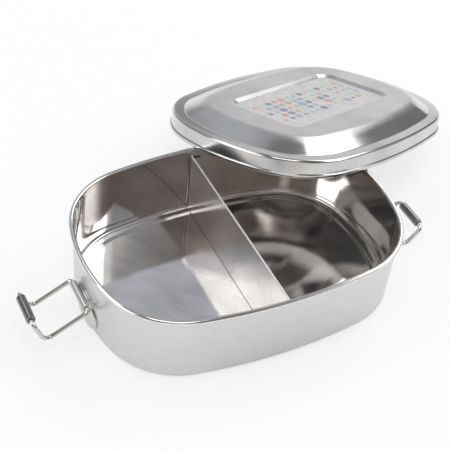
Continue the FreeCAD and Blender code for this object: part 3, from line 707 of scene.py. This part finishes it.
def lid_steel(name, tint, bright_below, satin_above):
    """Pressed sheet under faint clouds: slope, ledge and skirt stay bright with streaks along the lid, and
    the plateau is satin."""
    bright_rough, satin_rough = 0.12, 0.36
    cloud = 30 * MM
    material, tree, shader = new_finish(name)
    place = add(tree, "ShaderNodeAttribute", attribute_name="pressed").outputs["Vector"]
    height = add(tree, "ShaderNodeSeparateXYZ", {"Vector": place})
    satin = add(tree, "ShaderNodeMapRange", {
        "Value": height.outputs["Z"], "From Min": bright_below, "From Max": satin_above})
    lines = streaks(tree, place, run=(40, 0.5, 0.5), detail=4.0)
    clouds = add(tree, "ShaderNodeTexNoise", {"Vector": place, "Scale": 1 / cloud, "Detail": 2.0})
    lined = shaded(tree, tint, lines, *LINE_TONES)
    shade = shaded(tree, lined, clouds.outputs[0], darkest=0.82, brightest=1.06)
    dull = add(tree, "ShaderNodeMapRange", {
        "Value": satin.outputs[0], "To Min": bright_rough, "To Max": satin_rough})
    rub = add(tree, "ShaderNodeBump", {"Height": lines, "Strength": 0.25, "Distance": LINE_DEPTH})
    fill(tree, shader, {
        "Metallic": 1.0, "Base Color": shade, "Roughness": dull.outputs[0], "Normal": rub.outputs[0]})
    return material


def enamel(name, tint=None):
    """Thin enamel, flat and slightly glossy, mottled where it wore thin: one tint, or each shape's ink."""
    spot = 4 * MM
    material, tree, shader = new_finish(name)
    ink = tint or add(tree, "ShaderNodeAttribute", attribute_name="ink").outputs["Color"]
    place = add(tree, "ShaderNodeTexCoord").outputs["Object"]
    wear = add(tree, "ShaderNodeTexNoise", {"Vector": place, "Scale": 1 / spot, "Detail": 3.0})
    shade = shaded(tree, ink, wear.outputs[0], darkest=0.9, brightest=1.07)
    fill(tree, shader, {"Base Color": shade, "Roughness": 0.4})
    return material


# Operators


class LUNCHBOX_OT_tray(Operator):
    """Draw the tray from one sheet: floor, stepped ring, leaning wall and rolled rim"""

    bl_idname = "lunchbox.tray"
    bl_label = "Tray"

    def execute(self, context):
        sizes, colours = context.scene.tray_sizes, context.scene.finishes
        inside = polished_steel("polished_steel", colours.polished)
        outside = brushed_steel(
            "satin_steel", colours.satin, rough=0.3, grain=0.03, run=(25, 25, 0.6), relief=0.03)
        steel = sizes.steel
        curl = (sizes.bead - steel) / 2
        foot = sizes.bead + sizes.draft
        ring = foot + sizes.ring
        step = ring + sizes.run
        raised_floor = sizes.step + steel / 2
        wall = sizes.bead - steel / 2
        top = sizes.height - steel / 2
        edge = step + sizes.lap
        rim = rim_line(sizes)
        section = section_line("tray_section", [
            (-edge, steel / 2, 0),
            (-step, steel / 2, sizes.press_bend),
            (-ring, raised_floor, sizes.press_bend),
            (steel / 2 - foot, raised_floor, sizes.foot_bend),
            (-wall, wall_top(sizes), sizes.bead),
            (-wall, top, curl),
            (-steel / 2, top, curl),
            (-steel / 2, top - 2 * curl, curl),
            (-steel / 2 - curl - sizes.tuck, top - 2 * curl, 0),
        ])
        wall_sheet = bent("tray_wall", bent_sheet_tree(), rim, section, inside)
        floor_sheet = grown("tray_floor", flat_middle_tree(), {
            "Line": rim, "Inset": edge, "Level": steel / 2, "Finish": inside})
        tray = welded("tray_shell", (wall_sheet, floor_sheet), (inside, outside), (0, 0, -1))
        # The first finish goes on the inside, so the sheet faces inwards before it gets its thickness
        tray.data.flip_normals()
        thickened(tray, steel)
        handed_over(tray, "tray", "tray_steel", "tray")
        removed(rim, section)
        return {"FINISHED"}


class LUNCHBOX_OT_divider(Operator):
    """Bend the divider: a plate across the tray with a welded flange at each end"""

    bl_idname = "lunchbox.divider"
    bl_label = "Divider"

    def execute(self, context):
        sizes, tray = context.scene.divider_sizes, context.scene.tray_sizes
        finish = brushed_plate("brushed_plate", context.scene.finishes.plate, sizes.top)
        tip = sizes.flange - sizes.sheet / 2
        widest = self.reach(sizes, tray, sizes.top)
        plan = section_line("divider_plan", [
            (tip, -widest, 0), (0, -widest, sizes.bend), (0, widest, sizes.bend), (tip, widest, 0)])
        levels = (sizes.foot, sizes.top - sizes.drop, sizes.top)
        upright = drawn("divider_height", [(0, 0, level, 1) for level in levels])
        plate = bent("divider_sheet", bent_sheet_tree(), upright, plan, finish)
        divider = welded("divider_plate", (plate,), (finish,), (-1, 0, 0))
        self.trim(divider.data, sizes, tray)
        thickened(divider, sizes.sheet, sizes.edge)
        across = divider.data.uv_layers.new(name="brushed")
        for corner, place in zip(divider.data.loops, across.uv):
            place.vector = divider.data.vertices[corner.vertex_index].co.yz / MM
        handed_over(divider, "tray", "divider_steel", "divider")
        removed(plan, upright)
        return {"FINISHED"}

    def reach(self, sizes, tray, level):
        """From the tray's middle to the middle of a flange's sheet, at a level of the leaning wall."""
        inset = tray.bead + tray.draft * max(0.0, 1 - level / wall_top(tray))
        return tray.width / 2 - inset - sizes.seat - sizes.sheet / 2

    def trim(self, mesh, sizes, tray):
        """Lower the flanges, cut the lower corners off, let the lower edge down between the steps of the
        ring, and lean the ends with the walls."""
        half = sizes.sheet / 2
        widest = self.reach(sizes, tray, sizes.top)
        shape = bmesh.new()
        shape.from_mesh(mesh)
        lowered = []
        for face in shape.faces:
            middle = face.calc_center_median()
            if middle.z > sizes.top - sizes.drop and middle.x > half:
                lowered.append(face)
        bmesh.ops.delete(shape, geom=lowered, context="FACES")
        uncut = widest + half - sizes.relief
        step = tray.width / 2 - tray.bead - tray.draft - tray.ring - tray.run - tray.press_bend
        deep = step - sizes.relief
        for cut in (-step, -deep, deep, step):
            bmesh.ops.bisect_plane(shape, geom=shape.verts[:] + shape.edges[:] + shape.faces[:],
                                   plane_co=(0, cut, 0), plane_no=(0, 1, 0))
        for vertex in shape.verts:
            if vertex.co.z < sizes.foot + WELD:
                vertex.co.z += max(0.0, abs(vertex.co.y) + half - uncut)
                if abs(vertex.co.y) < deep + WELD:
                    vertex.co.z = tray.steel + sizes.floor_gap
            vertex.co.y *= self.reach(sizes, tray, vertex.co.z) / widest
        shape.to_mesh(mesh)
        shape.free()


class LUNCHBOX_OT_lid(Operator):
    """Press the lid from one sheet: hem, skirt, ledge, slope and plateau with a sunk panel"""

    bl_idname = "lunchbox.lid"
    bl_label = "Lid"

    def execute(self, context):
        sizes, tray, colours = context.scene.lid_sizes, context.scene.tray_sizes, context.scene.finishes
        steel = tray.steel
        finish = lid_steel(
            "pressed_lid_steel", colours.lid, bright_below=sizes.height - sizes.panel_depth - 2 * steel,
            satin_above=sizes.height)
        skirt = sizes.clearance + steel / 2
        hem = sizes.clearance + sizes.hem_width - steel / 2
        curl = (hem - skirt) / 2
        tuck = sizes.hem_height - steel / 2
        ledge = sizes.ledge_height - steel / 2
        top = sizes.height - steel / 2
        slope_foot = -sizes.ledge_width
        slope_top = slope_foot - sizes.slope_width
        edge = slope_top - tray.lap
        rim, panel = rim_line(tray), panel_line(sizes)
        section = section_line("lid_section", [
            (edge, top, 0),
            (slope_top, top, sizes.slope_top_bend),
            (slope_foot, ledge, sizes.slope_foot_bend),
            (skirt, ledge, sizes.ledge_bend),
            (skirt, steel / 2, curl),
            (hem, steel / 2, curl),
            (hem, tuck, sizes.hem_lip),
            (hem - sizes.hem_lip - sizes.hem_tuck, tuck, 0),
        ])
        sunk = top - sizes.panel_depth
        margin = sizes.panel_bend
        bevel = section_line("panel_section", [
            (-sizes.panel_run - margin, sunk, 0),
            (-sizes.panel_run, sunk, sizes.panel_bend),
            (0, top, sizes.panel_bend),
            (margin, top, 0),
        ])
        sheet, middle = bent_sheet_tree(), flat_middle_tree()
        parts = (
            bent("lid_edge", sheet, rim, section, finish),
            grown("lid_plateau", middle, {
                "Line": rim, "Inset": -edge, "Hole": panel, "Hole inset": -margin, "Level": top,
                "Finish": finish}),
            bent("lid_bevel", sheet, panel, bevel, finish),
            grown("lid_panel", middle, {
                "Line": panel, "Inset": sizes.panel_run + margin, "Level": sunk, "Finish": finish}),
        )
        lid = welded("lid_shell", parts, (finish,), (0, 0, 1))
        thickened(lid, steel)
        remembered(lid, "pressed")
        lid.data.transform(place_of("lid"))
        handed_over(lid, "lid", "lid_steel", "lid")
        removed(rim, panel, section, bevel)
        return {"FINISHED"}


class LUNCHBOX_OT_print(Operator):
    """Coat the lid's sunk panel and print plain shapes on it"""

    bl_idname = "lunchbox.print"
    bl_label = "Printed panel"

    def execute(self, context):
        sizes, lid, colours = context.scene.print_sizes, context.scene.lid_sizes, context.scene.finishes
        ground, ink = enamel("pale_enamel", tuple(colours.ground)), enamel("screen_print")
        level = lid.height - lid.panel_depth
        panel = panel_line(lid)
        flat = grown("coat_sheet", flat_middle_tree(), {
            "Line": panel, "Inset": lid.panel_run + sizes.coat_edge, "Level": level + sizes.coat / 2,
            "Finish": ground})
        coat = welded("panel_coat", (flat,), (ground,), (0, 0, 1))
        thickened(coat, sizes.coat)
        shapes = grown("print_sheet", print_tree(), {
            "Length": sizes.length, "Width": sizes.width, "Columns": sizes.columns, "Rows": sizes.rows,
            "Shape": sizes.shape, "Level": level + sizes.coat + sizes.ink / 2, "Seed": sizes.seed,
            **{name: getattr(sizes, name.lower()) for name in INKS}, "Finish": ink})
        printed = welded("panel_print", (shapes,), (ink,), (0, 0, 1))
        thickened(printed, sizes.ink)
        for piece in (coat, printed):
            piece.data.transform(place_of("lid"))
            handed_over(piece, "lid", "lid_steel")
        removed(panel)
        return {"FINISHED"}


def clip_place(side, clips):
    """From a bail's own frame, hinge line through the origin and arms along X, to its end of the tray."""
    hinge, tube = JOINTS[f"{side}_bail_swing"], JOINTS[f"{side}_tube_turn"]
    reach = tube - hinge
    level = math.atan2(clips.hook, clips.arm - clips.hook_return)
    droop = level - math.atan2(reach.z, abs(reach.x))
    turn = Matrix.Rotation(math.pi if reach.x < 0 else 0, 4, "Z")
    return Matrix.Translation(hinge) @ turn @ Matrix.Rotation(droop, 4, "Y")


class LUNCHBOX_OT_brackets(Operator):
    """Lay an oval plate on each end wall and roll a barrel for the wire in front of it"""

    bl_idname = "lunchbox.brackets"
    bl_label = "Clip brackets"

    def execute(self, context):
        sizes, tray, colours = context.scene.clip_sizes, context.scene.tray_sizes, context.scene.finishes
        finish = brushed_steel(
            "bracket_steel", colours.bracket, rough=0.24, grain=0.05, run=(0.5, 14, 0.5), relief=0.08)
        hinge = JOINTS["right_bail_swing"]
        roll = sizes.wire / 2 + sizes.play + sizes.sheet / 2
        foot = tray.end_radius - tray.bead - tray.draft + tray.steel + sizes.seat + sizes.sheet / 2
        section = section_line("barrel_section", [
            (hinge.x - roll, hinge.z - roll - sizes.barrel_root, 0),
            (hinge.x - roll, hinge.z + roll, roll),
            (hinge.x + roll, hinge.z + roll, roll),
            (hinge.x + roll, hinge.z - roll, roll),
            (hinge.x - sizes.barrel_tuck, hinge.z - roll, 0),
        ])
        half = sizes.barrel_length / 2
        line = drawn("barrel_length", [(0, -half, 0, 1), (0, half, 0, 1)])
        sheet, wall = bent_sheet_tree(), wall_plate_tree()
        for side, turn in (("right", 0), ("left", math.pi)):
            parts = (
                bent("bracket_barrel", sheet, line, section, finish),
                grown("bracket_plate", wall, {
                    "Width": sizes.plate_width, "Height": sizes.plate_height,
                    "Level": sizes.plate_foot + sizes.plate_height / 2,
                    "Bow middle": tray.length / 2 - tray.end_radius, "Bow": foot,
                    "Lean": tray.draft / wall_top(tray), "Finish": finish}),
            )
            bracket = welded(f"{side}_bracket", parts, (finish,), (1, 0, 0))
            thickened(bracket, sizes.sheet, sizes.edge)
            bracket.data.transform(Matrix.Rotation(turn, 4, "Z"))
            handed_over(bracket, "tray", "bracket_steel", f"{side}_clip_bracket")
        removed(section, line)
        return {"FINISHED"}


class LUNCHBOX_OT_bails(Operator):
    """Bend the two wire bails"""

    bl_idname = "lunchbox.bails"
    bl_label = "Wire bails"

    def execute(self, context):
        sizes, colours = context.scene.clip_sizes, context.scene.finishes
        finish = brushed_steel(
            "drawn_wire", colours.wire, rough=0.18, grain=0.04, run=(6, 6, 6), relief=0.02)
        half, tube = sizes.bail_width / 2, sizes.arm - sizes.hook_return
        near = [
            (tube, -sizes.end_gap / 2, sizes.hook, 0),
            (tube, -half, sizes.hook, sizes.tube_bend),
            (sizes.arm, -half, 0, sizes.elbow_bend),
            (0, -half, 0, sizes.barrel_bend),
        ]
        far = [(x, -y, z, bend) for x, y, z, bend in reversed(near)]
        line = drawn("bail_line", near + far)
        tree = wire_tree()
        for side in ("left", "right"):
            wire = grown("bail_wire", tree, {
                "Line": line, "Wire radius": sizes.wire / 2, "Bend steps": BEND_STEPS,
                "Round steps": WIRE_STEPS, "Finish": finish})
            bail = welded(f"{side}_bail", (wire,), (finish,), (0, 0, 1))
            bail.data.set_sharp_from_angle(angle=CREASE)
            bail.data.transform(clip_place(side, sizes))
            handed_over(bail, f"{side}_bail", "wire_steel", f"{side}_wire_bail")
        removed(line)
        return {"FINISHED"}


class LUNCHBOX_OT_finger_tubes(Operator):
    """Roll the two finger tubes that turn on the bails"""

    bl_idname = "lunchbox.finger_tubes"
    bl_label = "Finger tubes"

    def execute(self, context):
        sizes, colours = context.scene.clip_sizes, context.scene.finishes
        # The tube steel's dark tint is painted shade, for the dark room that the tube mirrors
        finish = brushed_steel(
            "rolled_tube_steel_painted_shade", colours.tube, rough=0.12, grain=0.04, run=(0.5, 12, 0.5), relief=0.03)
        bore, outside = sizes.wire / 2 + sizes.play, sizes.tube / 2
        middle = (bore + outside) / 2
        line = loop_line("tube_ring", arc(Vector((0, 0)), middle, 0, 2 * math.pi, TUBE_STEP))
        half = sizes.tube_length / 2
        section = section_line("tube_section", [(0, -half, 0), (0, half, 0)])
        lying = Matrix.Rotation(math.pi / 2, 4, "X")
        on_bail = Matrix.Translation((sizes.arm - sizes.hook_return, 0, sizes.hook))
        tree = bent_sheet_tree()
        for side in ("left", "right"):
            sheet = bent("tube_sheet", tree, line, section, finish, steps=1)
            tube = welded(f"{side}_tube", (sheet,), (finish,), (1, 0, 0))
            thickened(tube, outside - bore, sizes.tube_edge)
            tube.data.transform(clip_place(side, sizes) @ on_bail @ lying)
            handed_over(tube, f"{side}_tube", "tube_steel", f"{side}_finger_tube")
        removed(line, section)
        return {"FINISHED"}


# Stage

# Camera: degrees round the tray and down on it, roll, focal length and sensor in millimetres, the nearest
# that it sees, and where the tray's origin lies from it: right, up and ahead
CAMERA_AZIMUTH, CAMERA_DOWN, CAMERA_ROLL = -29.685, 42.708, 6.331
CAMERA_LENS, CAMERA_SENSOR = 86.84, 36
CAMERA_NEAREST = 10 * MM
ORIGIN_SEEN = Vector((3.672, -29.412, 615.672)) * MM

# Floor: half its side in metres, and how far its own white covers its shadows, from one distance from the
# tray's middle to another: to the camera, and in mirrors
FLOOR_REACH = 4.0
FLOOR_SEEN = {"From Min": 0.16, "From Max": 0.45, "To Min": 0.7, "To Max": 1.0}
FLOOR_MIRRORED = {"From Min": 0.06, "From Max": 0.12, "To Min": 0.0, "To Max": 0.9}

# The room that the steel mirrors: its tone, then soft places in it, each with its azimuth and elevation,
# the reach of its core and of its edge in degrees, and its tone
ROOM_TONE = "#A3A5A8"
ROOM_PLACES = (
    (72, 38, 18, 32, "#BABEC6"),
    (66, 84, 33, 37, "#8C8C8F"),
    (250, 40, 30, 44, "#716860"),
    (250, 41, 5, 9, "#B4AEA9"),
    (250, 12, 13, 25, "#DCDAD7"),
    (328, 45, 5, 14, "#FFFFFF"),
    (62, 0, 14, 24, "#E8E8E9"),
    (64, 2, 3.5, 7, "#9C9C9E"),
    (27, 10, 11, 19, "#808084"),
)
# Soft boxes: azimuth, elevation, width and height in metres, and brightness beside the white floor
BOX_DISTANCE = 1.2
SOFT_BOXES = (
    ("right_box", 5, 41.8, 1.5, 0.585, 2.6),
    ("back_left_box", 122, 54.9, 0.53, 0.42, 1.8),
    ("left_box", 174, 30, 0.84, 0.64, 2.5),
    ("top_box", 235, 78, 0.6, 0.6, 2.6),
)


def aimed(azimuth, elevation):
    """The direction at an azimuth from +X and an elevation, in degrees."""
    around, up = math.radians(azimuth), math.radians(elevation)
    return Vector((math.cos(around) * math.cos(up), math.sin(around) * math.cos(up), math.sin(up)))


class LUNCHBOX_OT_stage(Operator):
    """Set up the floor, the lamps, the surroundings and the camera"""

    bl_idname = "lunchbox.stage"
    bl_label = "Studio stage"

    def execute(self, context):
        scene = context.scene
        scene.view_settings.view_transform = "Standard"
        self.floor(scene)
        self.surroundings(scene)
        self.lamps()
        self.camera(scene)
        return {"FINISHED"}

    def floor(self, scene):
        """A wide pale floor, white where it is seen or mirrored, that shows the shadow round the object."""
        material, tree, shader = new_finish("studio_floor")
        tree.nodes.remove(shader)
        path = add(tree, "ShaderNodeLightPath")
        place = add(tree, "ShaderNodeTexCoord").outputs["Object"]
        away = add(tree, "ShaderNodeVectorMath", {0: place}, operation="LENGTH").outputs["Value"]
        share = add(tree, "ShaderNodeMapRange", {"Value": away, **FLOOR_SEEN})
        seen = add(tree, "ShaderNodeMath", {0: path.outputs["Is Camera Ray"], 1: share.outputs[0]},
                   operation="MULTIPLY")
        clear = add(tree, "ShaderNodeMapRange", {"Value": away, **FLOOR_MIRRORED})
        mirrored = add(tree, "ShaderNodeMath", {
            0: path.outputs["Is Glossy Ray"], 1: clear.outputs[0], 2: seen.outputs[0]},
            operation="MULTIPLY_ADD")
        paper = add(tree, "ShaderNodeBsdfDiffuse", {"Color": scene.finishes.floor})
        white = add(tree, "ShaderNodeEmission", {"Strength": 1.0})
        mixed = add(tree, "ShaderNodeMixShader", {
            0: mirrored.outputs[0], 1: paper.outputs[0], 2: white.outputs[0]})
        fill(tree, tree.nodes["Material Output"], {"Surface": mixed.outputs[0]})
        mesh = bpy.data.meshes.new("studio_floor")
        corners = ((-1, -1), (1, -1), (1, 1), (-1, 1))
        mesh.from_pydata([(x * FLOOR_REACH, y * FLOOR_REACH, 0) for x, y in corners], [], [(0, 1, 2, 3)])
        mesh.materials.append(material)
        placed("studio_floor", mesh)

    def surroundings(self, scene):
        """White to the camera. To the steel, a dim room with soft bright and dark places round it."""
        world = bpy.data.worlds.new("studio")
        scene.world = world
        world.use_nodes = True
        tree = world.node_tree
        tree.nodes.clear()
        path = add(tree, "ShaderNodeLightPath")
        way = add(tree, "ShaderNodeTexCoord").outputs["Generated"]
        tone = linear(ROOM_TONE)
        for azimuth, elevation, core, edge, code in ROOM_PLACES:
            close = add(tree, "ShaderNodeVectorMath", {0: way, 1: aimed(azimuth, elevation)},
                        operation="DOT_PRODUCT")
            inside = add(tree, "ShaderNodeMapRange", {
                "Value": close.outputs["Value"], "From Min": math.cos(math.radians(edge)),
                "From Max": math.cos(math.radians(core))}, interpolation_type="SMOOTHSTEP")
            mixed = add(tree, "ShaderNodeMix", {"Factor": inside.outputs[0], "A": tone, "B": linear(code)},
                        data_type="RGBA")
            tone = mixed.outputs["Result"]
        room = add(tree, "ShaderNodeBackground", {"Color": tone, "Strength": 1.0})
        white = add(tree, "ShaderNodeBackground", {"Color": linear("#FFFFFF"), "Strength": 1.0})
        seen = add(tree, "ShaderNodeMath", {
            0: path.outputs["Is Camera Ray"], 1: path.outputs["Is Transmission Ray"]}, operation="MAXIMUM")
        shown = add(tree, "ShaderNodeMixShader", {
            0: seen.outputs[0], 1: room.outputs[0], 2: white.outputs[0]})
        add(tree, "ShaderNodeOutputWorld", {"Surface": shown.outputs[0]})

    def lamps(self):
        """Soft boxes to the right, behind on the left, to the left and overhead."""
        for name, azimuth, elevation, width, depth, brightness in SOFT_BOXES:
            lamp = bpy.data.lights.new(name, "AREA")
            lamp.shape = "RECTANGLE"
            lamp.size, lamp.size_y = width, depth
            lamp.energy = math.pi * brightness * width * depth
            box = placed(name, lamp)
            aim = aimed(azimuth, elevation)
            box.location = aim * BOX_DISTANCE
            box.rotation_euler = (-aim).to_track_quat("-Z", "Y").to_euler()

    def camera(self, scene):
        """The photograph's own angle and distance."""
        roll = math.radians(CAMERA_ROLL)
        level = heading(math.radians(CAMERA_AZIMUTH)).to_3d()
        ahead = aimed(CAMERA_AZIMUTH + 90, -CAMERA_DOWN)
        above = level.cross(ahead)
        right = level * math.cos(roll) + above * math.sin(roll)
        up = above * math.cos(roll) - level * math.sin(roll)
        lens = bpy.data.cameras.new("photo_camera")
        lens.lens, lens.sensor_width = CAMERA_LENS, CAMERA_SENSOR
        lens.clip_start = CAMERA_NEAREST
        camera = placed("photo_camera", lens)
        turn = Matrix((right, up, -ahead)).transposed().to_4x4()
        where = -(right * ORIGIN_SEEN.x + up * ORIGIN_SEEN.y + ahead * ORIGIN_SEEN.z)
        camera.matrix_world = Matrix.Translation(where) @ turn
        scene.camera = camera


class LUNCHBOX_PT_parts(Panel):
    """The lunch box's pieces and sizes"""

    bl_idname = "LUNCHBOX_PT_parts"
    bl_label = "Lunch Box"
    bl_space_type = "VIEW_3D"
    bl_region_type = "UI"
    bl_category = "Lunch Box"

    def draw(self, context):
        for operator in OPERATORS:
            self.layout.operator(operator.bl_idname)
        for name, group in GROUPS:
            sizes = getattr(context.scene, name)
            self.layout.label(text=group.__doc__)
            for key in group.__annotations__:
                self.layout.prop(sizes, key)


GROUPS = (
    ("tray_sizes", TraySizes),
    ("lid_sizes", LidSizes),
    ("divider_sizes", DividerSizes),
    ("clip_sizes", ClipSizes),
    ("print_sizes", PrintSizes),
    ("finishes", Finishes),
)
OPERATORS = (
    LUNCHBOX_OT_stage,
    LUNCHBOX_OT_tray,
    LUNCHBOX_OT_divider,
    LUNCHBOX_OT_lid,
    LUNCHBOX_OT_print,
    LUNCHBOX_OT_brackets,
    LUNCHBOX_OT_bails,
    LUNCHBOX_OT_finger_tubes,
)


def register():
    for name, group in GROUPS:
        bpy.utils.register_class(group)
        setattr(bpy.types.Scene, name, PointerProperty(type=group))
    for operator in OPERATORS:
        bpy.utils.register_class(operator)
    bpy.utils.register_class(LUNCHBOX_PT_parts)


def unregister():
    bpy.utils.unregister_class(LUNCHBOX_PT_parts)
    for operator in reversed(OPERATORS):
        bpy.utils.unregister_class(operator)
    for name, group in reversed(GROUPS):
        delattr(bpy.types.Scene, name)
        bpy.utils.unregister_class(group)


def main():
    register()
    for operator in OPERATORS:
        group, name = operator.bl_idname.split(".")
        getattr(getattr(bpy.ops, group), name)()


if __name__ == "__main__":
    main()
